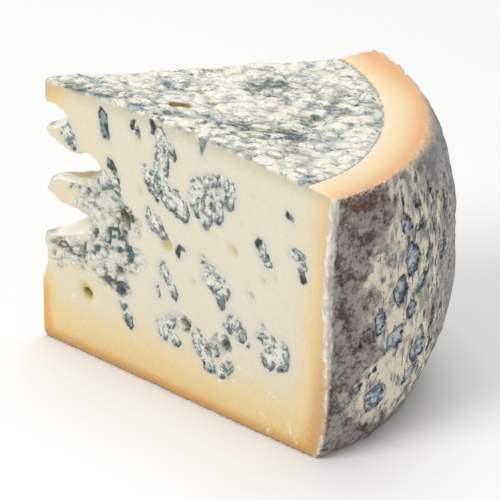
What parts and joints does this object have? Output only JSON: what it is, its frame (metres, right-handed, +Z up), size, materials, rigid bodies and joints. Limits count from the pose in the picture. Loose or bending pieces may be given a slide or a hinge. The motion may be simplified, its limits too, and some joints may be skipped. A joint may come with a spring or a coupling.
{
  "type": "blue cheese wedge",
  "caption": "Tall wedge of veined blue cheese with a bulging natural rind, flat cut faces, a crumbly top and a notched, crumbled tip.",
  "frame": {"origin": "under the middle of the bounding box, on the flat base", "axes": "+Z up from the base; the wedge's tip points to -X and its rind faces +X along the bisector of the two cuts; the front cut face looks towards -Y"},
  "size_m": [0.1372, 0.1014, 0.0975],
  "materials": {
    "cheese": "soft waxy ivory paste with blue-grey veins on the cut faces, and a dry grey-brown mould rind on the curved wall and the base"
  },
  "bodies": {
    "root": {"cheese_wedge": "cheese"}
  },
  "joints": []
}
